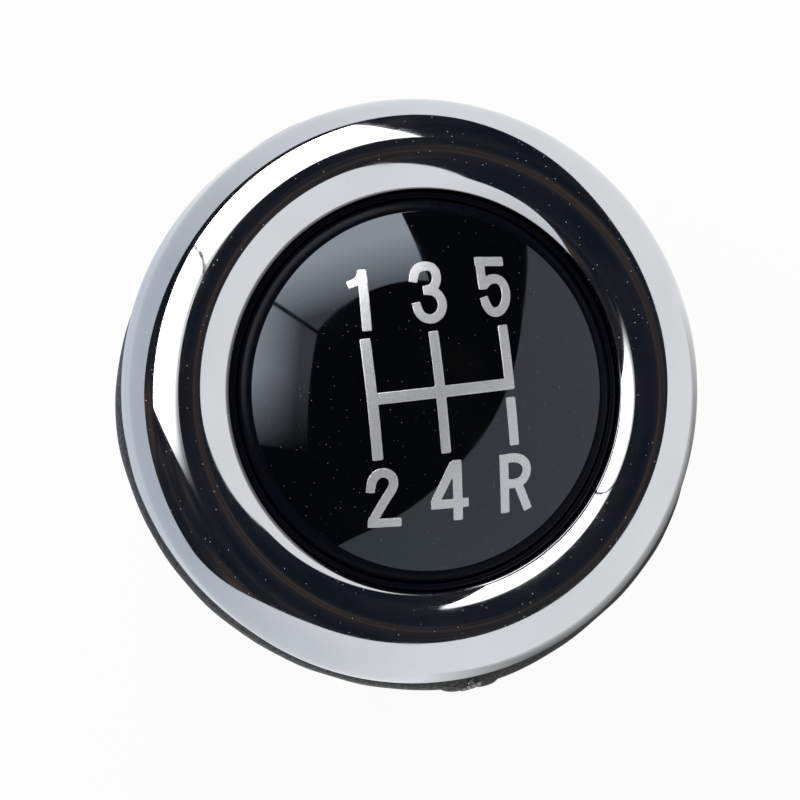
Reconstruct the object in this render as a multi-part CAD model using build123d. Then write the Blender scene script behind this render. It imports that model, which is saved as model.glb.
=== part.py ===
from build123d import *
import os

# Gear shift knob: a leather-covered grip on a moulded core, with a plated ring and a domed cap on top.
# Millimetres. Z runs up the lever's axis, the collar's foot lies on Z = 0 and +Y points to the car's front.

# Ring: a plated bead with a shallow inner slope and a deeper, wider outer one
ring_base_height = 66.0
ring_height = 9.5
ring_opening_radius = 17.0
ring_inner_slope = 3.4
ring_inner_drop = 1.6
ring_outer_slope = 4.6
ring_shoulder_drop = 4.2
ring_wall = 1.2
ledge_depth = 4.5
ledge_width = 3.0
ledge_thickness = 1.4

# Hooks under the ring's ledge, which snap into pockets of the core
hook_count = 4
hook_start_angle = 45.0
hook_width = 5.0
hook_thickness = 1.4
hook_length = 6.5
hook_barb = 0.8
hook_barb_height = 1.8
hook_clearance = 0.15
hook_flex_room = 1.0

# Cap: a tray clipped into the ring, and the dome that is bonded into the tray
seat_clearance = 0.1
seat_floor = 1.4
seat_rim_width = 0.55
seat_rim_height = 2.6
claw_count = 3
claw_start_angle = 90.0
claw_width = 4.0
claw_thickness = 1.2
claw_barb = 0.7
claw_barb_height = 1.4
claw_clearance = 0.15
dome_clearance = 0.15
dome_edge_height = 1.2
dome_bevel_width = 1.0
dome_bevel_drop = 0.6
dome_rise = 2.8

# Grip: oval sections, each with a half width and how much further its front and rear reach out
leather_thickness = 1.2
tuck_height = 3.0
tuck_clearance = 0.2
edge_gap = 0.3
belly_drop = 2.8
belly_inset = 0.3
belly_front_swell = 1.05
belly_rear_swell = 1.45
chest_drop = 9.0
chest_inset = 1.1
chest_front_swell = 0.75
chest_rear_swell = 1.3
flank_sections = 3
neck_rise = 9.5
neck_half_width = 14.6
neck_rear_swell = 0.4
foot_radius = 13.4

# Seam: the two edges of the leather, rolled outwards and sewn together at the rear
seam_angle = 9.5
seam_lip_width = 2.6
seam_groove_width = 0.8
seam_lip_height = 0.55

# Core: the moulding inside the leather
core_rim_rise = 2.0
core_rim_clearance = 0.2
recess_margin = 0.45
pocket_margin = 0.3

# Collar: covers the leather's lower edge and snaps onto the core's spigot
collar_height = 10.5
collar_floor = 2.0
collar_mouth_radius = 9.5
collar_lip = 1.3
collar_taper = 0.8
collar_edge_round = 0.6
leather_cover_depth = 3.2
spigot_radius = 11.6
spigot_clearance = 0.2
bead_height = 4.7
bead_radius = 0.55
bead_clearance = 0.15

# Insert: a brass bush tapped M10 x 1.25, whose bore is drawn at the thread's minor radius
insert_radius = 7.0
insert_length = 26.0
insert_groove_width = 4.0
insert_groove_depth = 1.0
bore_radius = 4.32
bore_depth = 22.0
bore_chamfer = 1.0

# Heights and radii that follow from the sizes above
ring_crest_height = ring_base_height + ring_height
ring_crest_radius = ring_opening_radius + ring_inner_slope
ring_outer_radius = ring_crest_radius + ring_outer_slope
belly_half_width = ring_outer_radius - belly_inset
chest_half_width = ring_outer_radius - chest_inset
ledge_top = ring_crest_height - ledge_depth
ledge_bottom = ledge_top - ledge_thickness
ledge_radius = ring_opening_radius - ledge_width
seat_radius = ring_opening_radius - seat_clearance
seat_floor_top = ledge_top + seat_floor
dome_radius = seat_radius - seat_rim_width - dome_clearance
tuck_radius = ring_outer_radius - ring_wall - tuck_clearance
tuck_top = ring_base_height + tuck_height
leather_bottom = collar_height - leather_cover_depth
shoulder_height = ring_base_height - edge_gap
heel_height = collar_height + edge_gap
neck_height = collar_height + neck_rise
belly_height = ring_base_height - belly_drop
chest_height = ring_base_height - chest_drop
core_top = ledge_bottom + core_rim_rise
core_rim_radius = ring_opening_radius + ring_wall + core_rim_clearance
claw_outer_radius = ledge_radius - claw_clearance
claw_length = ledge_thickness + claw_clearance + claw_barb_height
recess_radius = claw_outer_radius + claw_barb + recess_margin
recess_floor = ledge_top - claw_length - recess_margin


def spun(outline):
    """Solid of revolution about Z from a closed outline drawn as radius and height."""
    return revolve(Plane.XZ * make_face(outline), Axis.Z)


def tube(outer_radius, inner_radius, bottom, top):
    """Plain round tube between two heights."""
    outer = Pos(0, 0, bottom) * extrude(Circle(outer_radius), top - bottom)
    inner = Pos(0, 0, bottom) * extrude(Circle(inner_radius), top - bottom)
    return outer - inner


def disc(radius, bottom, top):
    """Plain round disc between two heights."""
    return Pos(0, 0, bottom) * extrude(Circle(radius), top - bottom)


def around(shape, count, start_angle):
    """Copies of a shape, evenly spaced about Z."""
    return [Rot(0, 0, start_angle + index * 360 / count) * shape for index in range(count)]


def snap_leg(root, tip, inner, outer, barb, barb_height, width):
    """Springy leg hanging down on the +X side, with a barb that points outwards at its tip."""
    outline = Polyline(
        (inner, root),
        (outer, root),
        (outer, tip + barb_height),
        (outer + barb, tip + barb_height),
        (outer, tip),
        (inner, tip),
        close=True,
    )
    return extrude(Plane.XZ * make_face(outline), width / 2, both=True)


def oval(height, half_width, front_swell, rear_swell):
    """Section of the grip: a half ellipse to the front and a fuller one to the rear."""
    front = EllipticalCenterArc((0, 0), half_width, half_width + front_swell, start_angle=0, arc_size=180)
    rear = EllipticalCenterArc((0, 0), half_width, half_width + rear_swell, start_angle=180, arc_size=180)
    return Pos(0, 0, height) * make_face(front + rear)


def grip_form(growth):
    """Pear form of the grip between collar and ring, grown outwards all round by an amount."""
    neck = (neck_height, neck_half_width, 0, neck_rear_swell)
    chest = (chest_height, chest_half_width, chest_front_swell, chest_rear_swell)
    stations = [(heel_height, foot_radius, 0, 0), neck]
    for step in range(1, flank_sections + 1):
        share = step / (flank_sections + 1)
        stations.append([low + (high - low) * share for low, high in zip(neck, chest)])
    stations.append(chest)
    stations.append((belly_height, belly_half_width, belly_front_swell, belly_rear_swell))
    stations.append((shoulder_height, tuck_radius, 0, 0))
    return loft([oval(height, width + growth, front, rear) for height, width, front, rear in stations])


def seam_lips():
    """Two ridges down the rear, side by side, where the leather's edges are rolled and sewn."""
    raised = grip_form(seam_lip_height)
    reach = belly_half_width + belly_rear_swell + 2 * seam_lip_height
    offset = (seam_groove_width + seam_lip_width) / 2
    slab = Box(seam_lip_width, reach, ring_base_height)
    lips = Part()
    for side in (-1, 1):
        placed = Pos(side * offset, -reach / 2, ring_base_height / 2) * slab
        lips += raised & (Rot(0, 0, seam_angle) * placed)
    return lips


def leather_cover():
    """Sewn sleeve of even thickness, tucked under the ring at the top and into the collar at the bottom."""
    sleeve = grip_form(0) + seam_lips()
    sleeve -= grip_form(-leather_thickness)
    upper_tuck = tube(tuck_radius, tuck_radius - leather_thickness, shoulder_height, tuck_top)
    lower_tuck = tube(foot_radius, foot_radius - leather_thickness, leather_bottom, heel_height)
    return sleeve + upper_tuck + lower_tuck


def insert_cavity():
    """Space that the bush fills in the core: a round bar with a locking groove."""
    groove_bottom = collar_floor + (insert_length - insert_groove_width) / 2
    groove_top = groove_bottom + insert_groove_width
    groove_root = insert_radius - insert_groove_depth
    groove = tube(insert_radius + insert_groove_depth, groove_root, groove_bottom, groove_top)
    return disc(insert_radius, collar_floor, collar_floor + insert_length) - groove


def threaded_insert():
    """Bush with a blind bore that opens downwards; its mouth is flush with the foot of the core."""
    mouth = Polyline(
        (0, collar_floor),
        (bore_radius + bore_chamfer, collar_floor),
        (bore_radius, collar_floor + bore_chamfer),
        (0, collar_floor + bore_chamfer),
        close=True,
    )
    bush = insert_cavity() - disc(bore_radius, collar_floor, collar_floor + bore_depth)
    return bush - spun(mouth)


def hook_pockets():
    """Pockets in the core for the ring's hooks: a way down and a catch for each barb."""
    outer = ring_opening_radius + hook_clearance
    inner = ring_opening_radius - hook_thickness - hook_flex_room
    tip = ledge_bottom - hook_length
    catch = tip + hook_barb_height + hook_clearance
    outline = Polyline(
        (inner, ledge_bottom),
        (outer, ledge_bottom),
        (outer, catch),
        (outer + hook_barb, catch),
        (outer + hook_barb, tip - pocket_margin),
        (inner, tip - pocket_margin),
        close=True,
    )
    pocket = extrude(Plane.XZ * make_face(outline), hook_width / 2 + hook_clearance, both=True)
    return around(pocket, hook_count, hook_start_angle)


def grip_core():
    """Moulded body inside the leather, with a rim that centres the ring and a spigot for the collar."""
    core = grip_form(-leather_thickness)
    core += disc(tuck_radius - leather_thickness, shoulder_height, core_top)
    core += disc(foot_radius - leather_thickness, leather_bottom, heel_height)
    core += disc(spigot_radius, collar_floor, leather_bottom)
    core -= disc(core_rim_radius, ledge_bottom, core_top)
    core -= disc(recess_radius, recess_floor, ledge_bottom)
    core -= hook_pockets()
    core -= insert_cavity()
    groove = Pos(spigot_radius + spigot_clearance, bead_height) * Circle(bead_radius + bead_clearance)
    return core - revolve(Plane.XZ * groove, Axis.Z)


def chrome_ring():
    """Hollow bead with an inward ledge for the cap and hooks below it."""
    shoulder = ring_crest_height - ring_shoulder_drop
    inner_shoulder = ring_crest_height - ring_inner_drop
    outer_face = EllipticalCenterArc(
        (ring_crest_radius, shoulder), ring_outer_slope, ring_shoulder_drop, start_angle=0, arc_size=90
    )
    inner_face = EllipticalCenterArc(
        (ring_crest_radius, inner_shoulder), ring_inner_slope, ring_inner_drop, start_angle=90, arc_size=90
    )
    inside_inner = EllipticalCenterArc(
        (ring_crest_radius, inner_shoulder),
        ring_inner_slope - ring_wall,
        ring_inner_drop - ring_wall,
        start_angle=90,
        arc_size=90,
    )
    inside_outer = EllipticalCenterArc(
        (ring_crest_radius, shoulder),
        ring_outer_slope - ring_wall,
        ring_shoulder_drop - ring_wall,
        start_angle=0,
        arc_size=90,
    )
    ledge = Polyline(
        (ring_opening_radius, inner_shoulder),
        (ring_opening_radius, ledge_top),
        (ledge_radius, ledge_top),
        (ledge_radius, ledge_bottom),
        (ring_opening_radius + ring_wall, ledge_bottom),
        (ring_opening_radius + ring_wall, inner_shoulder),
    )
    skirt = Polyline(
        (ring_outer_radius - ring_wall, shoulder),
        (ring_outer_radius - ring_wall, ring_base_height),
        (ring_outer_radius, ring_base_height),
        (ring_outer_radius, shoulder),
    )
    ring = spun(outer_face + inner_face + ledge + inside_inner + inside_outer + skirt)
    hook = snap_leg(
        ledge_bottom,
        ledge_bottom - hook_length,
        ring_opening_radius - hook_thickness,
        ring_opening_radius,
        hook_barb,
        hook_barb_height,
        hook_width,
    )
    return ring + around(hook, hook_count, hook_start_angle)


def cap_seat():
    """Shallow round tray with claws that reach through the ring's ledge and grip it from below."""
    tray = disc(seat_radius, ledge_top, seat_floor_top)
    tray += tube(seat_radius, seat_radius - seat_rim_width, seat_floor_top, ledge_top + seat_rim_height)
    claw = snap_leg(
        ledge_top,
        ledge_top - claw_length,
        claw_outer_radius - claw_thickness,
        claw_outer_radius,
        claw_barb,
        claw_barb_height,
        claw_width,
    )
    return tray + around(claw, claw_count, claw_start_angle)


def pattern_dome():
    """Domed cap: a spherical crown inside a narrow rounded bevel."""
    bevel_bottom = seat_floor_top + dome_edge_height
    crown_edge = bevel_bottom + dome_bevel_drop
    crown_radius = dome_radius - dome_bevel_width
    crown_sphere_radius = (crown_radius**2 + dome_rise**2) / (2 * dome_rise)
    bevel = EllipticalCenterArc(
        (crown_radius, bevel_bottom), dome_bevel_width, dome_bevel_drop, start_angle=0, arc_size=90
    )
    crown = RadiusArc((crown_radius, crown_edge), (0, crown_edge + dome_rise), -crown_sphere_radius)
    rest = Polyline(
        (0, crown_edge + dome_rise),
        (0, seat_floor_top),
        (dome_radius, seat_floor_top),
        (dome_radius, bevel_bottom),
    )
    return spun(bevel + crown + rest)


def lower_collar():
    """Foot ring: a floor with a mouth, a socket for the spigot and a lip round the leather's edge."""
    socket_radius = spigot_radius + spigot_clearance
    lip_radius = foot_radius + tuck_clearance
    outer_radius = lip_radius + collar_lip
    step = leather_bottom - edge_gap
    outline = Polyline(
        (collar_mouth_radius, 0),
        (outer_radius - collar_taper - collar_edge_round, 0),
        (outer_radius - collar_taper, collar_edge_round),
        (outer_radius, collar_height - collar_edge_round),
        (outer_radius - collar_edge_round, collar_height),
        (lip_radius, collar_height),
        (lip_radius, step),
        (socket_radius, step),
        (socket_radius, collar_floor),
        (collar_mouth_radius, collar_floor),
        close=True,
    )
    bead = Pos(socket_radius, bead_height) * Circle(bead_radius)
    return spun(outline) + revolve(Plane.XZ * bead, Axis.Z)


pieces = {
    "leather_cover": leather_cover(),
    "grip_core": grip_core(),
    "threaded_insert": threaded_insert(),
    "chrome_ring": chrome_ring(),
    "cap_seat": cap_seat(),
    "pattern_dome": pattern_dome(),
    "lower_collar": lower_collar(),
}

os.makedirs("parts", exist_ok=True)
for name, piece in pieces.items():
    export_step(piece, f"parts/{name}.step")
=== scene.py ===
import bmesh
import bpy
import numpy as np
from mathutils import Matrix


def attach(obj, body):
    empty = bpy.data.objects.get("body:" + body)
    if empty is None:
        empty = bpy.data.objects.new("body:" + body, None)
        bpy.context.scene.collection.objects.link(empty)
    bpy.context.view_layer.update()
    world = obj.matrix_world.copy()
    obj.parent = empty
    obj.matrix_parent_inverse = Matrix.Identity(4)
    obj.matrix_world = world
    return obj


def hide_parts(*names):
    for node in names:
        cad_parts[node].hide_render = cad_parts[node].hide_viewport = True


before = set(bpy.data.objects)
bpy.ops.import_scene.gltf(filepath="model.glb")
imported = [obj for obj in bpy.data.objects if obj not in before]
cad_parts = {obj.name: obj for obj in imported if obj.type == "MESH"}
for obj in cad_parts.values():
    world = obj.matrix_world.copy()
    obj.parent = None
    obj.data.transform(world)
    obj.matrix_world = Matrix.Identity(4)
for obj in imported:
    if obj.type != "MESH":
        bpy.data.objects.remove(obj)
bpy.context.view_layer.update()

MM = 0.001
FULL_TURN = 2 * np.pi

# Points closer than this are one: in metres in a mesh, in millimetres along an outline
WELD, REPEAT = 1e-7, 1e-6

# Plan direction of the picture's right-hand side, in the knob's own frame
PLAN_TURN = np.radians(-6.4)


# Mesh helpers

def build(name, points, *face_groups):
    """Smooth mesh from points in millimetres and arrays of faces, welded where points meet."""
    groups = [np.asarray(group, np.int32) for group in face_groups]
    sizes = np.concatenate([np.full(len(group), group.shape[1]) for group in groups])
    corners = np.concatenate([group.ravel() for group in groups])
    mesh = bpy.data.meshes.new(name)
    mesh.vertices.add(len(points))
    mesh.vertices.foreach_set("co", (np.asarray(points, float) * MM).ravel())
    mesh.loops.add(len(corners))
    mesh.loops.foreach_set("vertex_index", corners)
    mesh.polygons.add(len(sizes))
    mesh.polygons.foreach_set("loop_start", np.cumsum(sizes) - sizes)
    mesh.update(calc_edges=True)
    work = bmesh.new()
    work.from_mesh(mesh)
    bmesh.ops.remove_doubles(work, verts=work.verts, dist=WELD)
    bmesh.ops.recalc_face_normals(work, faces=work.faces)
    work.to_mesh(mesh)
    work.free()
    mesh.polygons.foreach_set("use_smooth", np.ones(len(mesh.polygons), bool))
    mesh.update()
    piece = bpy.data.objects.new(name, mesh)
    bpy.context.scene.collection.objects.link(piece)
    return piece


def grid_faces(rows, columns, wrap_rows=False, wrap_columns=True):
    """Four-sided faces of a grid numbered row by row; a wrapped way joins its end to its start."""
    row = np.arange(rows if wrap_rows else rows - 1)[:, None]
    column = np.arange(columns if wrap_columns else columns - 1)[None, :]
    next_row = (row + 1) % rows
    next_column = (column + 1) % columns
    corners = (
        row * columns + column,
        row * columns + next_column,
        next_row * columns + next_column,
        next_row * columns + column,
    )
    return np.stack(corners, -1).reshape(-1, 4)


def polar_points(radius, angle, height):
    """Points at an angle a about Z: x = radius cos a, y = radius sin a, z = height."""
    parts = np.broadcast_arrays(radius * np.cos(angle), radius * np.sin(angle), height)
    return np.stack(parts, -1).reshape(-1, 3)


def rounded(corners, reach, steps=6):
    """Open outline whose corners are parabolas: each starts its reach before the corner and ends
    its reach after it. The two ends have no reach."""
    corners, reach = np.asarray(corners, float), np.asarray(reach, float)[:, None]
    before, after = np.roll(corners, 1, 0) - corners, np.roll(corners, -1, 0) - corners
    before = before / np.linalg.norm(before, axis=1, keepdims=True)
    after = after / np.linalg.norm(after, axis=1, keepdims=True)
    share = np.linspace(0, 1, steps)[None, :, None]
    start = (corners + before * reach)[:, None]
    end = (corners + after * reach)[:, None]
    curve = (1 - share) ** 2 * start + 2 * share * (1 - share) * corners[:, None] + share**2 * end
    line = curve.reshape(-1, 2)
    moved = np.linalg.norm(line - np.roll(line, 1, 0), axis=1) > REPEAT
    moved[0] = True
    return line[moved]


def quarter(centre, across, along, start, end, count):
    """Part of an ellipse: radius = centre's + across times sine, height = centre's + along times
    cosine."""
    angle = np.radians(np.linspace(start, end, count))
    return np.stack([centre[0] + across * np.sin(angle), centre[1] + along * np.cos(angle)], -1)


def arc_chain(start, arcs, count):
    """Outline that runs inwards and down from a level start. Each arc turns from one tilt to
    another at its own radius: the outline's radius falls by that times the change of sine, its
    height by that times the change of cosine."""
    tilt = np.radians(np.concatenate([np.linspace(low, high, count) for low, high, _ in arcs]))
    bend = np.repeat([radius for _, _, radius in arcs], count)
    inwards = np.concatenate([[0], np.cumsum(bend[1:] * np.diff(np.sin(tilt)))])
    down = np.concatenate([[0], np.cumsum(bend[1:] * -np.diff(np.cos(tilt)))])
    line = np.stack([start[0] - inwards, start[1] - down], -1)
    moved = np.concatenate([[True], np.linalg.norm(np.diff(line, axis=0), axis=1) > REPEAT])
    return line[moved]


def snap_legs(root, tip, inner, outer, barb, barb_height, width, angles):
    """Barbed legs: an outline of (radius, height) carried along the tangent and turned to each
    angle."""
    outline = np.array([
        (inner, root),
        (outer, root),
        (outer, tip + barb_height),
        (outer + barb, tip + barb_height),
        (outer, tip),
        (inner, tip),
    ])
    count = len(outline)
    side = np.array([-width, width]) / 2
    angle = np.radians(np.asarray(angles, float))[:, None, None]
    radius, offset = outline[None, None, :, 0], side[None, :, None]
    x = radius * np.cos(angle) - offset * np.sin(angle)
    y = radius * np.sin(angle) + offset * np.cos(angle)
    z = np.broadcast_to(outline[None, None, :, 1], x.shape)
    points = np.stack([x, y, z], -1).reshape(-1, 3)
    walls = grid_faces(2, count)
    fan = np.arange(count - 2)
    cap = np.stack([np.full_like(fan, count - 1), fan, fan + 1], -1)
    start = (np.arange(len(angles)) * 2 * count)[:, None, None]
    walls = (walls[None] + start).reshape(-1, 4)
    caps = (np.concatenate([cap, cap + count])[None] + start).reshape(-1, 3)
    return points, walls, caps


def turned(name, outline, steps, closed, legs=None):
    """Outline of (radius, height) turned about Z, closed on itself or ending on the axis, with
    barbed legs in the same mesh if any are given."""
    angle = np.linspace(0, FULL_TURN, steps, endpoint=False)
    body = polar_points(outline[:, :1], angle, outline[:, 1:])
    faces = grid_faces(len(outline), steps, wrap_rows=closed)
    if legs is None:
        return build(name, body, faces)
    points, walls, caps = legs
    return build(name, np.concatenate([body, points]), faces, walls + len(body), caps + len(body))


def spline(values, query):
    """Natural cubic spline through rows of values at whole-number places, read at the places in
    query."""
    values = np.asarray(values, float)
    count = len(values)
    system = 4 * np.eye(count) + np.eye(count, k=1) + np.eye(count, k=-1)
    system[[0, -1]] = np.eye(count)[[0, -1]]
    bend = np.zeros_like(values)
    bend[1:-1] = 6 * (values[2:] - 2 * values[1:-1] + values[:-2])
    bend = np.linalg.solve(system, bend)
    place = np.clip(np.floor(query).astype(int), 0, count - 2)
    ahead = (np.asarray(query) - place)[:, None]
    back = 1 - ahead
    cubic = (bend[place] * back**3 + bend[place + 1] * ahead**3) / 6
    fading = (values[place] - bend[place] / 6) * back
    rising = (values[place + 1] - bend[place + 1] / 6) * ahead
    return cubic + fading + rising


def ease(value, low, high):
    """Smooth step from 0 at low to 1 at high."""
    share = np.clip((value - low) / (high - low), 0, 1)
    return share * share * (3 - 2 * share)


def between(value, rise, fall):
    """Smooth step up over the span of rise and down again over the span of fall."""
    return ease(value, *rise) * (1 - ease(value, *fall))


# Material helpers

def surface(name, colour, metallic, roughness, **sockets):
    """New material with a principled shader whose even values are set on its own sockets."""
    material = bpy.data.materials.new(name)
    material.use_nodes = True
    shader = material.node_tree.nodes["Principled BSDF"]
    shader.inputs["Base Color"].default_value = (*colour, 1)
    shader.inputs["Metallic"].default_value = metallic
    shader.inputs["Roughness"].default_value = roughness
    for socket, value in sockets.items():
        shader.inputs[socket.replace("_", " ")].default_value = value
    return material, material.node_tree, shader


def wire(tree, shader, **values):
    """Joins each varying value to the shader's socket of that name."""
    for socket, value in values.items():
        tree.links.new(value, shader.inputs[socket.replace("_", " ")])


def texture(tree, kind, stretch=(1, 1, 1), **sockets):
    """Texture node read by the piece's own place in metres, stretched along each axis."""
    spot = tree.nodes.new("ShaderNodeTexCoord")
    mapping = tree.nodes.new("ShaderNodeMapping")
    mapping.inputs["Scale"].default_value = stretch
    tree.links.new(spot.outputs["Object"], mapping.inputs["Vector"])
    node = tree.nodes.new(kind)
    tree.links.new(mapping.outputs["Vector"], node.inputs["Vector"])
    for socket, value in sockets.items():
        node.inputs[socket.replace("_", " ")].default_value = value
    return node


def noise(tree, scale, detail, stretch=(1, 1, 1), roughness=0.5):
    """Output of a cloudy pattern with that many features to the metre."""
    kind = "ShaderNodeTexNoise"
    node = texture(tree, kind, stretch, Scale=scale, Detail=detail, Roughness=roughness)
    return node.outputs[0]


def cells(tree, scale):
    """Cell pattern with that many cells to the metre."""
    return texture(tree, "ShaderNodeTexVoronoi", Scale=scale)


def ranged(tree, value, low, high, first, second):
    """Value spread from low..high to first..second and held there beyond."""
    node = tree.nodes.new("ShaderNodeMapRange")
    node.inputs["From Min"].default_value = low
    node.inputs["From Max"].default_value = high
    node.inputs["To Min"].default_value = first
    node.inputs["To Max"].default_value = second
    tree.links.new(value, node.inputs["Value"])
    return node.outputs["Result"]


def shades(tree, value, *stops):
    """Colour ramp: each stop is a value and the colour there."""
    ramp = tree.nodes.new("ShaderNodeValToRGB")
    elements = ramp.color_ramp.elements
    while len(elements) < len(stops):
        elements.new(0.5)
    for element, (position, colour) in zip(elements, stops):
        element.position = position
        element.color = (*colour, 1)
    tree.links.new(value, ramp.inputs["Fac"])
    return ramp.outputs["Color"]


def relief(tree, value, depth, normal=None, strength=1.0):
    """Bump of that depth in millimetres, laid over an earlier bump if one is given."""
    bump = tree.nodes.new("ShaderNodeBump")
    bump.inputs["Strength"].default_value = strength
    bump.inputs["Distance"].default_value = depth * MM
    tree.links.new(value, bump.inputs["Height"])
    if normal:
        tree.links.new(normal, bump.inputs["Normal"])
    return bump.outputs["Normal"]


def combine(tree, operation, first, second):
    """Two varying values joined by one sum, product or comparison."""
    node = tree.nodes.new("ShaderNodeMath")
    node.operation = operation
    for socket, value in zip(node.inputs, (first, second)):
        if isinstance(value, float):
            socket.default_value = value
        else:
            tree.links.new(value, socket)
    return node.outputs["Value"]


def dust(tree, scale, size, share):
    """Specks of dust: 1 within that size of a cell's middle, in the share of cells with the highest
    draw."""
    speck = cells(tree, scale)
    spot = ranged(tree, speck.outputs["Distance"], 0.5 * size, size, 1.0, 0.0)
    split = tree.nodes.new("ShaderNodeSeparateColor")
    tree.links.new(speck.outputs["Color"], split.inputs["Color"])
    chosen = ranged(tree, split.outputs["Red"], 1 - share, 1 - 0.8 * share, 0.0, 1.0)
    return combine(tree, "MULTIPLY", spot, chosen)


# Materials

def plated_finish():
    """Bright plating: faint cloudy wiping marks in the gloss, fine dust and a trace of waviness."""
    material, tree, shader = surface(
        "ring_chrome", (0.64, 0.655, 0.68), metallic=1.0, roughness=0.03
    )
    clouds = noise(tree, 150, 4)
    marks = noise(tree, 500, 3, (1, 1, 6))
    wear = combine(tree, "MULTIPLY", clouds, marks)
    specks = dust(tree, scale=2900, size=0.12, share=0.24)
    gloss = ranged(tree, wear, 0.2, 0.45, 0.04, 0.09)
    wire(
        tree,
        shader,
        Base_Color=shades(tree, clouds, (0.35, (0.65, 0.665, 0.69)), (0.7, (0.62, 0.635, 0.655))),
        Metallic=ranged(tree, specks, 0.0, 1.0, 1.0, 0.2),
        Roughness=combine(tree, "MAXIMUM", gloss, combine(tree, "MULTIPLY", specks, 0.7)),
        Normal=relief(tree, noise(tree, 70, 1), depth=0.02, strength=0.2),
    )
    return material


def gloss_finish():
    """Deep gloss black with fine specks of dust and a hint of flow in the surface."""
    black = (0.0012, 0.0015, 0.002)
    material, tree, shader = surface(
        "dome_black",
        black,
        metallic=0.0,
        roughness=0.03,
        IOR=1.54,
        Specular_Tint=(0.77, 0.88, 1.0, 1.0),
    )
    specks = dust(tree, scale=2500, size=0.115, share=0.36)
    haze = ranged(tree, noise(tree, 220, 5), 0.35, 0.75, 0.015, 0.06)
    wire(
        tree,
        shader,
        Base_Color=shades(tree, specks, (0.0, black), (1.0, (0.13, 0.14, 0.15))),
        Roughness=combine(tree, "MAXIMUM", haze, combine(tree, "MULTIPLY", specks, 0.6)),
        Normal=relief(tree, noise(tree, 110, 1), depth=0.02, strength=0.12),
    )
    return material


def moulded_finish(name, colour, grain, depth, roughness, **sockets):
    """Moulded plastic: fine eroded grain, slightly uneven colour, gloss worn on the high points."""
    material, tree, shader = surface(name, colour, metallic=0.0, roughness=roughness, **sockets)
    fine = noise(tree, grain, 6, roughness=0.6)
    broad = noise(tree, 120, 2)
    lighter = tuple(1.6 * value for value in colour)
    wire(
        tree,
        shader,
        Base_Color=shades(tree, broad, (0.3, colour), (0.75, lighter)),
        Roughness=ranged(tree, fine, 0.3, 0.7, roughness + 0.08, roughness - 0.08),
        Normal=relief(tree, fine, depth, strength=0.6),
    )
    return material


def leather_finish():
    """Black grained leather: the height is half a round pebble in each cell plus fine pores. High
    points are glossier and painted paler as a highlight, the pores painted darker as shade, and
    the grain lies over broad soft folds."""
    material, tree, shader = surface(
        "black_leather",
        (0.01, 0.0103, 0.0112),
        metallic=0.0,
        roughness=0.45,
        Specular_IOR_Level=0.45,
    )
    pebble = ranged(tree, cells(tree, 2300).outputs["Distance"], 0.1, 0.75, 1.0, 0.0)
    pores = noise(tree, 4200, 4, roughness=0.65)
    broad = noise(tree, 110, 3)
    height = combine(
        tree, "ADD", combine(tree, "MULTIPLY", pebble, 0.5), combine(tree, "MULTIPLY", pores, 0.9)
    )
    polish = combine(tree, "MULTIPLY", height, broad)
    folds = relief(tree, broad, depth=0.3, strength=0.4)
    # painted highlight on the pebble tops and painted shade in the pores: colour set by the grain's
    # height
    painted_grain_shading = [(0.5, (0.001, 0.0011, 0.0014)), (0.95, (0.026, 0.0265, 0.029))]
    wire(
        tree,
        shader,
        Base_Color=shades(tree, height, *painted_grain_shading),
        Roughness=ranged(tree, polish, 0.2, 0.55, 0.5, 0.25),
        Normal=relief(tree, height, depth=0.26, normal=folds),
    )
    return material


def thread_finish():
    """Twisted sewing thread: slanted plies in the relief, with a change of shade along them."""
    material, tree, shader = surface("seam_thread", (0.36, 0.36, 0.37), metallic=0.0, roughness=0.6)
    plies = texture(tree, "ShaderNodeTexWave", Scale=900, Distortion=1.5, Detail=2)
    plies.bands_direction = "DIAGONAL"
    ply = plies.outputs["Fac"]
    fuzz = noise(tree, 2500, 2)
    wire(
        tree,
        shader,
        Base_Color=shades(tree, ply, (0.1, (0.24, 0.24, 0.25)), (0.9, (0.50, 0.50, 0.51))),
        Roughness=ranged(tree, fuzz, 0.3, 0.7, 0.5, 0.75),
        Normal=relief(tree, ply, depth=0.06),
    )
    return material


def print_finish():
    """Silver ink: fine metal flakes in the gloss and shade, under a clear skin."""
    material, tree, shader = surface(
        "silver_print",
        (0.53, 0.54, 0.56),
        metallic=0.5,
        roughness=0.35,
        Coat_Weight=0.6,
        Coat_Roughness=0.06,
    )
    flakes = noise(tree, 9000, 2)
    wire(
        tree,
        shader,
        Base_Color=shades(tree, flakes, (0.3, (0.45, 0.46, 0.48)), (0.7, (0.60, 0.61, 0.635))),
        Roughness=ranged(tree, flakes, 0.3, 0.7, 0.28, 0.44),
        Normal=relief(tree, flakes, depth=0.006, strength=0.4),
    )
    return material


def brass_finish():
    """Turned brass: tool rings round the axis and a little tarnish."""
    material, tree, shader = surface(
        "insert_brass", (0.72, 0.53, 0.24), metallic=1.0, roughness=0.3
    )
    rings = noise(tree, 900, 2, (0.02, 0.02, 6))
    stain = noise(tree, 260, 4)
    wire(
        tree,
        shader,
        Base_Color=shades(tree, stain, (0.3, (0.52, 0.36, 0.15)), (0.7, (0.76, 0.57, 0.27))),
        Roughness=ranged(tree, stain, 0.3, 0.7, 0.42, 0.22),
        Normal=relief(tree, rings, depth=0.01, strength=0.5),
    )
    return material


# Plated ring

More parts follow.
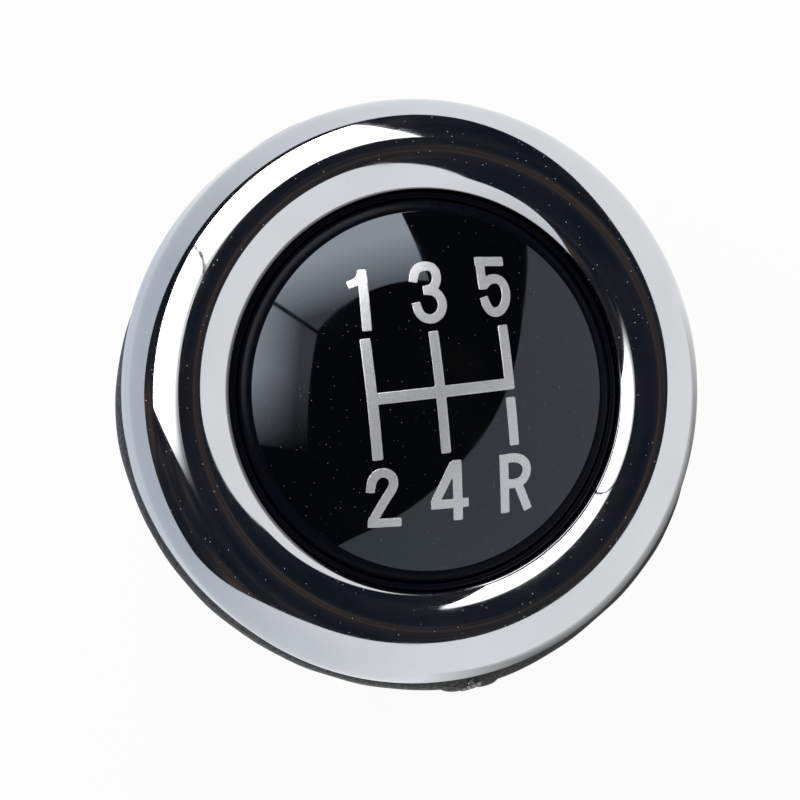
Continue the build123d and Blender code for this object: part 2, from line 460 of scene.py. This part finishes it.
def plated_ring():
    """Hollow bead turned about Z: a quarter ellipse falls outwards from the crest to a straight
    skirt, four arcs fall inwards to the opening, and a ledge inside carries the tray. Four barbed
    hooks hang below."""
    crest, top, foot, wall, opening, skirt = 20.4, 75.5, 66.0, 1.2, 17.0, 25.0
    outer_rise, outer_spring = 4.2, 71.3
    inner_rise, inner_spring = 1.6, 73.9
    skirt_top, throat_top = 69.0, 73.0
    ledge_top, ledge_low, ledge_reach = 71.0, 69.6, 14.0
    inner_face = [(0, 13, 3.4), (13, 18, 17.4), (18, 45, 2.637), (45, 90, 0.4)]
    lower_edge = [
        (skirt, skirt_top),
        (skirt, foot),
        (skirt - wall, foot),
        (skirt - wall, skirt_top),
    ]
    ledge = [
        (opening + wall, throat_top),
        (opening + wall, ledge_low),
        (ledge_reach, ledge_low),
        (ledge_reach, ledge_top),
        (opening, ledge_top),
        (opening, throat_top),
    ]
    outline = np.concatenate([
        arc_chain((crest, top), inner_face, 20)[::-1],
        quarter((crest, outer_spring), skirt - crest, outer_rise, 0, 90, 64)[1:],
        rounded(lower_edge, [0, 0.3, 0.2, 0]),
        quarter((crest, outer_spring), skirt - crest - wall, outer_rise - wall, 90, 0, 16),
        quarter((crest, inner_spring), crest - opening - wall, inner_rise - wall, 0, -90, 10)[1:],
        rounded(ledge, [0, 0.2, 0.15, 0.15, 0.15, 0]),
    ])
    hooks = snap_legs(
        root=ledge_low + 0.4,
        tip=63.1,
        inner=15.6,
        outer=17.0,
        barb=0.8,
        barb_height=1.8,
        width=5.0,
        angles=(45, 135, 225, 315),
    )
    return turned("ring_plated", outline, 360, closed=True, legs=hooks)


# Tray and dome

def tray():
    """Shallow dish turned about Z with an upright rim, and three barbed claws below."""
    base, dish, rim_top, rim_out, rim_in = 71.0, 72.4, 73.6, 16.9, 16.35
    corners = [
        (0, base),
        (rim_out, base),
        (rim_out, rim_top),
        (rim_in, rim_top),
        (rim_in, dish),
        (0, dish),
    ]
    outline = rounded(corners, [0, 0.2, 0.22, 0.15, 0.15, 0])
    claws = snap_legs(
        root=base + 0.2,
        tip=68.05,
        inner=12.65,
        outer=13.85,
        barb=0.7,
        barb_height=1.4,
        width=4.0,
        angles=(90, 210, 330),
    )
    return turned("seat_tray", outline, 240, closed=False, legs=claws)


CROWN_EDGE, CROWN_RISE, CROWN_TOP = 15.2, 2.8, 77.0
CROWN_RADIUS = (CROWN_EDGE**2 + CROWN_RISE**2) / (2 * CROWN_RISE)


def crown_height(distance):
    """Height of the dome's sphere at a distance from the axis."""
    return CROWN_TOP - CROWN_RADIUS + np.sqrt(CROWN_RADIUS**2 - distance**2)


def dome():
    """Disc turned about Z: a spherical crown, a crease, a rounded bevel, an upright edge and a flat
    underside. Faces outside the crown take the second material."""
    edge, bevel_foot, bevel_rise, base = 16.2, 73.6, 0.6, 72.4
    across = np.concatenate([np.linspace(0, CROWN_EDGE - 0.05, 90), [CROWN_EDGE]])
    crown = np.stack([across, crown_height(across)], -1)
    bevel = quarter((CROWN_EDGE, bevel_foot), edge - CROWN_EDGE, bevel_rise, 0, 90, 24)
    side = rounded([(edge, bevel_foot - 0.1), (edge, base), (0, base)], [0, 0.15, 0])
    piece = turned("dome_gloss", np.concatenate([crown, bevel[1:], side]), 288, closed=False)
    centres = np.zeros(3 * len(piece.data.polygons))
    piece.data.polygons.foreach_get("center", centres)
    distance = np.linalg.norm(centres.reshape(-1, 3)[:, :2], axis=1)
    piece.data.polygons.foreach_set("material_index", (distance > CROWN_EDGE * MM).astype(np.int32))
    return piece


# Printed pattern

# Straight strokes: two ends and a width, in millimetres on the dome
STRAIGHT = [
    # Gate
    ((-5.53, 4.95), (-5.53, -5.2), 0.9),
    ((0.28, 4.98), (0.28, -5.27), 0.84),
    ((6.45, 4.86), (6.45, -0.5), 0.86),
    ((-5.5, -0.12), (6.88, -0.12), 0.96),
    ((6.40, -1.25), (6.40, -5.31), 0.85),
    # Stem of 1, top of 5, foot of 2
    ((-4.93, 10.72), (-5.25, 5.56), 0.8),
    ((4.86, 10.42), (7.43, 10.2), 0.78),
    ((-6.72, -10.42), (-3.89, -10.6), 0.72),
    # The whole 4
    ((0.9, -6.2), (-0.95, -9.3), 0.78),
    ((-1.32, -9.5), (1.98, -9.62), 0.76),
    ((1.13, -5.95), (0.99, -11.04), 0.82),
    # Stem and leg of R
    ((5.34, -6.0), (5.22, -10.99), 0.8),
    ((6.5, -8.6), (7.36, -10.93), 0.78),
]

# Curved strokes: points that a spline passes through, and a width
CURVED = [
    # Upper and lower bowl of 3
    (
        [(-0.82, 9.2), (-0.42, 10.15), (0.42, 10.46), (1.16, 10.1), (1.22, 9.2), (0.72, 8.55),
         (-0.06, 8.42)],
        0.78,
    ),
    (
        [(-0.06, 8.42), (0.9, 8.22), (1.4, 7.4), (1.15, 6.45), (0.28, 6.0), (-0.58, 6.45),
         (-0.84, 7.5)],
        0.78,
    ),
    # Neck and bowl of 5
    ([(5.3, 10.4), (5.24, 9.2), (5.2, 8.0)], 0.76),
    (
        [(5.3, 8.3), (6.0, 8.78), (6.85, 8.62), (7.22, 7.75), (7.0, 6.7), (6.3, 6.02),
         (5.5, 6.25), (5.14, 7.36)],
        0.78,
    ),
    # Bow of 2
    (
        [(-6.36, -7.85), (-6.05, -6.72), (-5.28, -6.28), (-4.52, -6.65), (-4.42, -7.5),
         (-5.1, -8.5), (-6.34, -10.3)],
        0.78,
    ),
    # Bowl of R
    ([(5.34, -6.38), (6.5, -6.42), (7.3, -6.98), (7.3, -7.9), (6.6, -8.52), (5.3, -8.5)], 0.78),
    # Flag of 1
    ([(-4.98, 10.45), (-5.42, 9.82), (-6.32, 9.5)], 0.68),
]


def stroke_table():
    """Every stroke as straight runs: start, end and half width, with a disc at each join inside a
    curve that is more than half a width from its ends, so that the ends stay square."""
    starts = [np.array([row[0] for row in STRAIGHT])]
    ends = [np.array([row[1] for row in STRAIGHT])]
    halves = [np.array([row[2] for row in STRAIGHT]) / 2]
    joins, join_halves = [], []
    runs_each = 6
    for points, width in CURVED:
        line = spline(points, np.linspace(0, len(points) - 1, runs_each * len(points)))
        starts.append(line[:-1])
        ends.append(line[1:])
        halves.append(np.full(len(line) - 1, width / 2))
        walked = np.concatenate([[0], np.cumsum(np.linalg.norm(np.diff(line, axis=0), axis=1))])
        inside = line[np.minimum(walked, walked[-1] - walked) > width / 2]
        joins.append(inside)
        join_halves.append(np.full(len(inside), width / 2))
    return [np.concatenate(part) for part in (starts, ends, halves, joins, join_halves)]


def ink_depth(points):
    """Distance from the ink's edge, negative inside: the least over rounded boxes and discs."""
    start, end, half, join, join_half = stroke_table()
    corner = 0.1
    middle, run = (start + end) / 2, end - start
    length = np.linalg.norm(run, axis=1)
    along = run / length[:, None]
    offset = points[:, None, :] - middle[None]
    forward = np.abs((offset * along).sum(-1))
    sideways = np.abs(offset[..., 0] * along[:, 1] - offset[..., 1] * along[:, 0])
    soft = np.minimum(corner, np.minimum(half, length / 2))
    beyond = np.stack([forward - length / 2 + soft, sideways - half + soft], -1)
    boxes = np.linalg.norm(np.maximum(beyond, 0), axis=-1) + np.minimum(beyond.max(-1), 0) - soft
    discs = np.linalg.norm(points[:, None, :] - join[None], axis=-1) - join_half
    return np.minimum(boxes.min(1), discs.min(1))


def pattern_print():
    """Ink laid on the crown: a square grid cut along the zero line of the ink's distance, each
    triangle kept, trimmed or dropped, then lifted onto the dome's sphere and given the ink's
    thickness."""
    pitch, lift, thickness = 0.1, 0.03, 0.03
    left, right, lowest, highest = -7.6, 8.4, -11.8, 11.6
    batches = 40
    x = np.arange(left, right, pitch)
    y = np.arange(lowest, highest, pitch)
    flat = np.stack(np.meshgrid(x, y), -1).reshape(-1, 2)
    depth = np.concatenate([ink_depth(part) for part in np.array_split(flat, batches)])
    quads = grid_faces(len(y), len(x), wrap_columns=False)
    triangles = np.concatenate([quads[:, [0, 1, 2]], quads[:, [0, 2, 3]]])
    wet = depth[triangles] < 0
    count = wet.sum(1)

    def trimmed(rows, first):
        """Corner points turned so that the odd corner leads, and the two cuts on its sides."""
        order = (first[:, None] + np.arange(3)) % 3
        index = np.take_along_axis(rows, order, 1)
        spot, value = flat[index], depth[index][..., None]
        sides = spot[:, 1:] - spot[:, :1]
        cuts = spot[:, :1] + sides * value[:, :1] / (value[:, :1] - value[:, 1:])
        return spot, cuts

    whole = flat[triangles[count == 3]]
    one, one_cuts = trimmed(triangles[count == 1], wet[count == 1].argmax(1))
    two, two_cuts = trimmed(triangles[count == 2], wet[count == 2].argmin(1))
    kept = np.concatenate([
        whole,
        np.stack([one[:, 0], one_cuts[:, 0], one_cuts[:, 1]], 1),
        np.stack([two_cuts[:, 0], two[:, 1], two[:, 2]], 1),
        np.stack([two_cuts[:, 0], two[:, 2], two_cuts[:, 1]], 1),
    ]).reshape(-1, 2)
    centre = np.array([0, 0, CROWN_TOP - CROWN_RADIUS])
    base = np.column_stack([kept, crown_height(np.hypot(kept[:, 0], kept[:, 1]))])
    points = centre + (base - centre) * (1 + lift / CROWN_RADIUS)
    piece = build("pattern_print", points, np.arange(len(points)).reshape(-1, 3))
    skin = piece.modifiers.new("ink", "SOLIDIFY")
    skin.thickness = thickness * MM
    skin.offset = -1
    return piece


# Leather sleeve

# Stations of the core's form from the heel up: height, half width, reach to the front, to the rear
HEEL, BELLY, NECK = (10.8, 13.4, 13.4, 13.4), (63.2, 24.7, 25.75, 26.15), (65.7, 23.6, 23.6, 23.6)
FLANK = np.linspace((20.0, 14.6, 14.6, 15.0), (57.0, 23.9, 24.65, 25.2), 5)
STATIONS = np.vstack([HEEL, FLANK, BELLY, NECK])

# How the leather's outside departs from that form: its share at each station, and its amount round
# the belly every 15 degrees from the left (azimuth -180), by the rear seam to the palm's swell at
# the right, then by the front to the thumb's hollow
SWELL_SHARE = np.array([0, 0, 0.22, 0.44, 0.67, 0.86, 1, 0])
BELLY_SWELL = np.array([
    0.35, 0.26, 0.13, -0.06, -0.13, 0.12, 0.7, 1.45, 1.95, 2.7, 3.4, 3.0,
    1.8, 0.75, 0.1, -0.2, -0.25, -0.25, -0.3, -0.4, -0.6, -0.6, -0.5, -0.1,
])

# Lowest and highest point of the upright tucks in collar and ring, and the leather's thickness
COLLAR_TUCK, RING_TUCK = (7.3, 10.4), (66.1, 69.0)
LEATHER = 1.12

# The seam's azimuth, and its outward and sideways directions
SEAM = np.radians(-82)
SEAM_OUT = np.array([np.cos(SEAM), np.sin(SEAM), 0])
SEAM_ACROSS = np.array([-np.sin(SEAM), np.cos(SEAM), 0])


def belly_swell(angle):
    """Periodic spline through the belly's swell, read at any angle."""
    spare = 4
    spot = (np.asarray(angle) / FULL_TURN + 0.5) % 1 * len(BELLY_SWELL)
    wrapped = np.concatenate([BELLY_SWELL[-spare:], BELLY_SWELL, BELLY_SWELL[:spare + 1]])
    return spline(wrapped[:, None], spot.ravel() + spare).reshape(spot.shape)


def tuck_rows(low, high, radius, count):
    """Rows of an upright round tuck: the height rises evenly, every reach is the radius, and there
    is no swell."""
    height = np.linspace(low, high, count)
    return np.column_stack([height, np.full((count, 3), radius), np.zeros(count)])


def sleeve_rows(count, dressed=True):
    """Rows of height, reaches and swell's share: the tuck in the collar, the spline through the
    stations, the tuck in the ring. Undressed rows follow the core."""
    table = np.column_stack([STATIONS, SWELL_SHARE * dressed])
    form = spline(table, np.linspace(0, len(table) - 1, count))
    low = tuck_rows(*COLLAR_TUCK, HEEL[1], 5)
    high = tuck_rows(*RING_TUCK, NECK[1], 6)
    return np.concatenate([low, form, high])


def oval_points(rows, angle, growth=0.0):
    """Two half ellipses share the half width: x = width cos a, y = front or rear reach times sin a.
    The belly's swell, by the row's share of it, and the growth are added to both."""
    height, width, front, rear, share = (rows[:, [k]] for k in range(5))
    swell = share * belly_swell(angle) + growth
    reach = np.where(np.sin(angle) > 0, front, rear) + swell
    parts = np.broadcast_arrays((width + swell) * np.cos(angle), reach * np.sin(angle), height)
    return np.stack(parts, -1)


def lip_height(across):
    """Rise of the seam by distance from its middle: two rolled lips, each a parabola to a power,
    less a bell-shaped groove between them."""
    middle, half, tall, fullness = 1.35, 1.2, 0.3, 0.6
    groove_depth, groove_width = 0.35, 0.35
    roll = np.clip(1 - ((np.abs(across) - middle) / half) ** 2, 0, 1)
    return tall * roll**fullness - groove_depth * np.exp(-((across / groove_width) ** 2))


def sleeve():
    """Closed oval skin: outer rows with rolled seam edges, slight hollows that are a product of two
    sines, and gathers under the ring that are a sum of two; then the inner rows a leather's
    thickness inside, joined at both ends."""
    hollow_depth, gather_depth = 0.07, 0.025
    seam_reach, far_side = 0.24, 9
    rows = sleeve_rows(128)
    even = np.linspace(-np.pi, np.pi, 300, endpoint=False)
    close = SEAM + np.linspace(-seam_reach, seam_reach, 97)
    angle = np.unique(np.round(np.concatenate([even, close]), 6))
    outer = oval_points(rows, angle)
    flat_normal = outer * (1, 1, 0) / np.linalg.norm(outer[..., :2], axis=-1, keepdims=True)
    height = outer[..., 2]
    across, out = outer @ SEAM_ACROSS, outer @ SEAM_OUT
    lips = np.where(out > 0, lip_height(across), 0) * between(height, (10.2, 12.2), (65.6, 66.4))
    away = ease(np.abs(across) + far_side * (out < 0), 3.2, 6.5)
    waves = np.sin(5 * angle + 0.11 * height) * np.sin(3 * angle - 0.17 * height + 1)
    hollows = hollow_depth * (1 + waves) * between(height, (12, 18), (54, 61))
    ripples = np.sin(19 * angle + 0.4) + np.sin(31 * angle + 1.7 + 0.05 * height)
    gathers = gather_depth * (2 + ripples) * between(height, (58, 64.5), (65.6, 66.6))
    outer = outer + flat_normal * (lips - away * (hollows + gathers))[..., None]
    inner = oval_points(sleeve_rows(40, dressed=False)[::-1], angle, -LEATHER)
    points = np.concatenate([outer, inner])
    faces = grid_faces(len(points), len(angle), wrap_rows=True)
    return build("leather_sleeve", points.reshape(-1, 3), faces)


def stitches():
    """Thread arches over the seam: each centre line runs across the groove, rises between two holes
    and dips at its ends; a round section is carried along it."""
    lowest, highest, pitch = 13.0, 65.0, 2.3
    thick, reach, slant, lift, dip = 0.2, 1.3, 0.45, 0.24, 0.8
    height = np.arange(lowest, highest, pitch)
    along = np.linspace(-1, 1, 15)
    around = np.linspace(0, FULL_TURN, 10, endpoint=False)
    rows = sleeve_rows(200)
    z = height[:, None] + slant * along[None, :]
    width, rear, share = (np.interp(z, rows[:, 0], rows[:, k]) for k in (1, 3, 4))
    turn = SEAM + reach * along / rear
    rise = lift - dip * np.abs(along) ** 6 + share * belly_swell(turn)
    out = np.stack([np.cos(turn), np.sin(turn), np.zeros_like(turn)], -1)
    base = np.stack([width * np.cos(turn), rear * np.sin(turn), z], -1)
    path = base + out * rise[..., None]
    forward = np.gradient(path, axis=1)
    forward /= np.linalg.norm(forward, axis=-1, keepdims=True)
    side = np.cross(forward, out)
    side /= np.linalg.norm(side, axis=-1, keepdims=True)
    normal = np.cross(side, forward)
    upwards = np.cos(around)[:, None] * normal[:, :, None, :]
    sideways = np.sin(around)[:, None] * side[:, :, None, :]
    points = path[:, :, None, :] + thick * (upwards + sideways)
    each = len(along) * len(around)
    start = (np.arange(len(height)) * each)[:, None, None]
    walls = (grid_faces(len(along), len(around))[None] + start).reshape(-1, 4)
    disc = np.arange(len(around))[None]
    ends = np.concatenate([disc, disc + each - len(around)])
    caps = (ends[None] + start).reshape(-1, len(around))
    return build("seam_stitches", points.reshape(-1, 3), walls, caps)


# Collar and insert

def collar():
    """Tapered ring turned about Z with a stepped inside and a small snap bead."""
    throat, step, hole, tuck = 11.8, 2.0, 9.5, 13.6
    top, tuck_floor = 10.5, 7.0
    bead_height, bead_size = 4.7, 0.55
    outer_edge = [(13.5, 0), (14.1, 0.6), (14.9, 9.9), (14.3, top)]
    foot = [(throat, step), (hole, step), (hole, 0)]
    inside = [(tuck, top), (tuck, tuck_floor), (throat, tuck_floor)]
    reach = [0, 0.15, 0.2, 0.25, 0.25, 0.25, 0.25, 0.2, 0.2, 0]
    shell = rounded(foot + outer_edge + inside, reach, steps=7)
    bead = quarter((throat, bead_height), bead_size, bead_size, 0, -180, 13)
    return turned("collar_moulded", np.concatenate([shell, bead]), 240, closed=True)


def insert():
    """Bush turned about Z; the bore's radius is the larger of the mouth's cone and a helix, which
    is a triangle wave of height over pitch less the angle's share of a turn, cut flat at crest and
    root."""
    pitch, minor, deep, sharpness, root_flat = 1.25, 4.32, 0.68, 1.25, 0.12
    foot, bore_end, top, mouth, rim = 2.0, 24.0, 28, 5.32, 5.4
    wide, waist, waist_low, waist_high = 7, 6, 13, 17
    steps = 96
    angle = np.linspace(0, FULL_TURN, steps, endpoint=False)[None, :]
    height = np.linspace(bore_end, foot, 177)[:, None]
    phase = (height / pitch - angle / FULL_TURN) % 1
    wave = sharpness * (1 - np.abs(2 * phase - 1)) - root_flat
    ridge = np.clip(wave, 0, 1) * ease(bore_end - height, 0.3, 2.4)
    bore = np.maximum(minor + deep * ridge, mouth - (height - foot))
    below = [(rim, foot), (wide, foot), (wide, waist_low), (waist, waist_low)]
    above = [(waist, waist_high), (wide, waist_high), (wide, top), (0, top)]
    outside = rounded(below + above, [0, 0.3, 0.2, 0.2, 0.2, 0.2, 0.4, 0])
    shell = np.broadcast_to(outside[:, :1], (len(outside), steps))
    radius = np.concatenate([np.zeros((1, steps)), bore, shell])
    level = np.concatenate([[[bore_end]], height, outside[:, 1:]])
    return build("insert_bush", polar_points(radius, angle, level), grid_faces(len(level), steps))


# Studio

STUDIO_CENTRE = np.array([0, 0, 72.0])
BOX_DISTANCE, CANOPY_DISTANCE, FLOOR_REACH = 1400, 1600, 3000.0

# Colours of the surround as reflections see it, from the picture's left to its right
SURROUND = [
    (0.0, (0.59, 0.635, 0.71)),
    (0.24, (0.76, 0.785, 0.82)),
    (0.6, (0.98, 0.995, 1.01)),
    (1.0, (1.0, 1.0, 1.0)),
]

# Kinds of ray: those of the camera, and those of reflections
SEEN = ["Is Camera Ray"]
MIRRORED = ["Is Glossy Ray", "Is Transmission Ray"]


def direction(polar, azimuth):
    """Unit vector at a polar angle p from the knob's axis and an azimuth a from the picture's
    right-hand side: x = sin p cos a, y = sin p sin a, z = cos p."""
    polar, azimuth = np.radians(polar), np.radians(azimuth) + PLAN_TURN
    x = np.sin(polar) * np.cos(azimuth)
    y = np.sin(polar) * np.sin(azimuth)
    return np.stack(np.broadcast_arrays(x, y, np.cos(polar)), -1)


def ray_share(tree, kinds):
    """Light Path value that is 1 for any of the named kinds of ray."""
    path = tree.nodes.new("ShaderNodeLightPath")
    value = path.outputs[kinds[0]]
    for kind in kinds[1:]:
        value = combine(tree, "MAXIMUM", value, path.outputs[kind])
    return value


def measure(tree, spot, operation, vector):
    """Distance from a point, or length along a direction."""
    node = tree.nodes.new("ShaderNodeVectorMath")
    node.operation = operation
    node.inputs[1].default_value = vector
    tree.links.new(spot, node.inputs[0])
    return node.outputs["Value"]


def gradient(tree, heading):
    """Share from 0 at the picture's left to 1 at its right, for a heading of unit length."""
    along = measure(tree, heading, "DOT_PRODUCT", direction(90, 4))
    return ranged(tree, along, -0.8, 0.8, 0.0, 1.0)


def blend(tree, share, first, second):
    """Two shaders mixed: the first where the share is 0, the second where it is 1."""
    node = tree.nodes.new("ShaderNodeMixShader")
    for socket, value in zip(node.inputs, (share, first, second)):
        tree.links.new(value, socket)
    return node.outputs["Shader"]


def glow(name):
    """New material with one lamp in it, white and of strength 1 until its sockets are joined."""
    material = bpy.data.materials.new(name)
    material.use_nodes = True
    tree = material.node_tree
    tree.nodes.clear()
    lamp = tree.nodes.new("ShaderNodeEmission")
    out = tree.nodes.new("ShaderNodeOutputMaterial")
    tree.links.new(lamp.outputs["Emission"], out.inputs["Surface"])
    return material, tree, lamp


def panel(name, corners, bow):
    """Four-cornered soft box: corners are directions, blended across and along on a grid, with one
    edge bowed by a parabola."""
    count = 13
    share = np.linspace(0, 1, count)
    u, v = share[:, None, None], share[None, :, None]
    v = v + bow * 4 * u * (1 - u) * (1 - v)
    a, b, c, d = (direction(*corner) for corner in corners)
    points = (1 - u) * ((1 - v) * a + v * b) + u * ((1 - v) * d + v * c)
    points = STUDIO_CENTRE + BOX_DISTANCE * points
    return build(name, points.reshape(-1, 3), grid_faces(count, count, wrap_columns=False))


def soft_boxes():
    """Two four-cornered soft boxes. In reflections they fade upwards and towards one end; in soft
    light they are even."""
    boxes = [
        panel("soft_box_a", [(31, 63), (72.5, 92), (67.5, 140.6), (21.5, 134.2)], 0.08),
        panel("soft_box_b", [(21, 136.4), (67.5, 142), (69, 184), (23, 221)], 0.02),
    ]
    material, tree, lamp = glow("soft_box")
    spot = tree.nodes.new("ShaderNodeTexCoord").outputs["Object"]
    mirrored = ray_share(tree, MIRRORED)
    height = measure(tree, spot, "DOT_PRODUCT", (0, 0, 1))
    far_end = measure(tree, spot, "DOT_PRODUCT", direction(107, 74))
    fading = combine(tree, "MULTIPLY", ranged(tree, height, 1.05, 1.30, 6.5, 0.9), mirrored)
    fading = combine(tree, "MULTIPLY", fading, ranged(tree, far_end, -0.80, -0.40, 0.05, 1.0))
    even = ranged(tree, mirrored, 0, 1, 3.0, 0.0)
    wire(tree, lamp, Strength=combine(tree, "MAXIMUM", fading, even))
    for box in boxes:
        box.data.materials.append(material)
        box.visible_camera = False
    return boxes


def canopy():
    """Dark cloth over the set, seen only in reflections: polar angle goes from the top down to an
    uneven rim, round a full turn. The rim's rows are azimuth and polar angle."""
    rim = np.array([
        (-60, 28.5), (-40, 27.5), (-22, 29), (-4, 32), (18, 38.5), (32, 46), (42, 57), (50, 66),
        (62, 75), (74, 81), (90, 78), (117, 76), (144, 80), (163, 86), (183, 94), (198, 97),
        (214, 99), (228, 89), (240, 57), (258, 39), (275, 33), (290, 30), (300, 28.5),
    ])
    rows, columns, smoothing = 24, 180, 4
    azimuth = np.linspace(rim[0, 0], rim[-1, 0], columns + 1)[:-1]
    edge = np.interp(azimuth, rim[:, 0], rim[:, 1])
    edge = np.mean([np.roll(edge, shift) for shift in range(-smoothing, smoothing + 1)], axis=0)
    polar = np.linspace(0, 1, rows)[:, None] * edge
    points = STUDIO_CENTRE + CANOPY_DISTANCE * direction(polar, azimuth)
    cover = build("studio_canopy", points.reshape(-1, 3), grid_faces(rows, columns))
    material, tree, lamp = glow("canopy_cloth")
    painted_grain_shading = [
        (0.38, (0.009, 0.012, 0.019)),
        (0.55, (0.02, 0.021, 0.026)),
        (0.72, (0.07, 0.052, 0.042)),
    ]
    wire(tree, lamp, Color=shades(tree, noise(tree, 1.6, 4), *painted_grain_shading))
    cover.data.materials.append(material)
    cover.visible_camera = False
    cover.visible_diffuse = False
    cover.visible_shadow = False
    return cover


def pale_floor():
    """Flat square: white with the knob's shadow to the camera, matte in soft light, clear from
    below. Reflections see the surround's colours and a painted shadow of the knob: a wedge at the
    lower right of the view that darkens towards the knob."""
    span = np.array([-FLOOR_REACH, FLOOR_REACH])
    corners = np.stack(np.meshgrid(span, span), -1).reshape(-1, 2)
    floor = build("floor", np.column_stack([corners, np.zeros(4)]), [[0, 1, 3, 2]])
    material, tree, lamp = glow("floor_pale")
    matte = tree.nodes.new("ShaderNodeBsdfDiffuse")
    matte.inputs["Color"].default_value = (0.8, 0.8, 0.8, 1)
    clear = tree.nodes.new("ShaderNodeBsdfTransparent")
    spot = tree.nodes.new("ShaderNodeTexCoord").outputs["Object"]
    unit = tree.nodes.new("ShaderNodeVectorMath")
    unit.operation = "NORMALIZE"
    tree.links.new(spot, unit.inputs[0])
    heading = unit.outputs["Vector"]
    seen = ray_share(tree, SEEN)
    # painted shadow of the knob, seen only in reflections: the floor darkens near the knob within a
    # wedge towards the lower right
    near = ranged(tree, measure(tree, spot, "DISTANCE", (0, 0, 0)), 0.05, 0.4, 0.12, 1.0)
    aside = measure(tree, heading, "DOT_PRODUCT", direction(90, -31))
    painted_shadow_wedge = combine(tree, "MAXIMUM", near, ranged(tree, aside, 0.7, 1.0, 1.0, 0.0))
    wire(
        tree,
        lamp,
        Color=shades(tree, combine(tree, "MAXIMUM", seen, gradient(tree, heading)), *SURROUND),
        Strength=combine(tree, "MAXIMUM", seen, painted_shadow_wedge),
    )
    lit = combine(tree, "MAXIMUM", ranged(tree, seen, 0, 1, 0.0, 0.94), ray_share(tree, MIRRORED))
    above = blend(tree, lit, matte.outputs["BSDF"], lamp.outputs["Emission"])
    underside = tree.nodes.new("ShaderNodeNewGeometry").outputs["Backfacing"]
    whole = blend(tree, underside, above, clear.outputs["BSDF"])
    wire(tree, tree.nodes["Material Output"], Surface=whole)
    floor.data.materials.append(material)
    return floor


def surround():
    """World that is white to the camera, dim in soft light, and shaded from left to right in
    reflections."""
    world = bpy.data.worlds.new("studio")
    world.use_nodes = True
    tree = world.node_tree
    even = tree.nodes["Background"]
    even.inputs["Color"].default_value = (1, 1, 1, 1)
    wire(tree, even, Strength=ranged(tree, ray_share(tree, SEEN), 0, 1, 0.3, 1.0))
    shaded = tree.nodes.new("ShaderNodeBackground")
    heading = tree.nodes.new("ShaderNodeTexCoord").outputs["Generated"]
    wire(tree, shaded, Color=shades(tree, gradient(tree, heading), *SURROUND))
    mirrored = ray_share(tree, MIRRORED)
    whole = blend(tree, mirrored, even.outputs["Background"], shaded.outputs["Background"])
    wire(tree, tree.nodes["World Output"], Surface=whole)
    bpy.context.scene.world = world


def studio():
    """Soft boxes, canopy and floor in the white surround."""
    boxes = soft_boxes()
    cover = canopy()
    floor = pale_floor()
    surround()


def camera():
    """Camera above the knob, leaning towards the picture's left, level with its top edge."""
    lean, eye = np.radians(14), (-49.75, -0.77, 263.72)
    cos_turn, sin_turn = np.cos(PLAN_TURN), np.sin(PLAN_TURN)
    plan = np.array([[cos_turn, -sin_turn, 0], [sin_turn, cos_turn, 0], [0, 0, 1]])
    right = plan @ (np.cos(lean), 0, np.sin(lean))
    up = plan @ (0, 1, 0)
    back = plan @ (-np.sin(lean), 0, np.cos(lean))
    data = bpy.data.cameras.new("camera")
    data.lens = 104.4
    data.sensor_width = 36
    data.clip_start = 0.01
    viewer = bpy.data.objects.new("camera", data)
    stand = np.eye(4)
    stand[:3] = np.column_stack([right, up, back, plan @ eye * MM])
    viewer.matrix_world = Matrix(stand.tolist())
    bpy.context.scene.collection.objects.link(viewer)
    bpy.context.scene.camera = viewer


# Assembly

def place(piece, material, slot, node=None):
    """Gives a piece its material, lets it ride on the knob, and puts it in for a node. The slot is
    not used.
    """
    piece.data.materials.append(material)
    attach(piece, "root")
    if node:
        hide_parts(node)


bpy.context.scene.view_settings.view_transform = "Standard"
camera()
studio()
place(plated_ring(), plated_finish(), "ring_chrome", "chrome_ring")
cap = dome()
place(cap, gloss_finish(), "dome_black", "pattern_dome")
edge_black = moulded_finish(
    "dome_edge",
    (0.0015, 0.0022, 0.0038),
    grain=2500,
    depth=0.006,
    roughness=0.24,
    Specular_IOR_Level=0.05,
)
cap.data.materials.append(edge_black)
seat_black = moulded_finish(
    "seat_black",
    (0.0015, 0.0024, 0.0042),
    grain=2500,
    depth=0.01,
    roughness=0.28,
    Specular_IOR_Level=0.05,
)
place(tray(), seat_black, "seat_black", "cap_seat")
place(pattern_print(), print_finish(), "silver_print")
place(sleeve(), leather_finish(), "black_leather", "leather_cover")
place(stitches(), thread_finish(), "seam_thread")
collar_black = moulded_finish(
    "collar_black", (0.016, 0.016, 0.017), grain=2200, depth=0.03, roughness=0.5
)
place(collar(), collar_black, "collar_black", "lower_collar")
place(insert(), brass_finish(), "insert_brass", "threaded_insert")
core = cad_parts["grip_core"]
core.data.materials.clear()
core_plastic = moulded_finish(
    "core_plastic", (0.03, 0.03, 0.032), grain=1800, depth=0.03, roughness=0.55
)
core.data.materials.append(core_plastic)
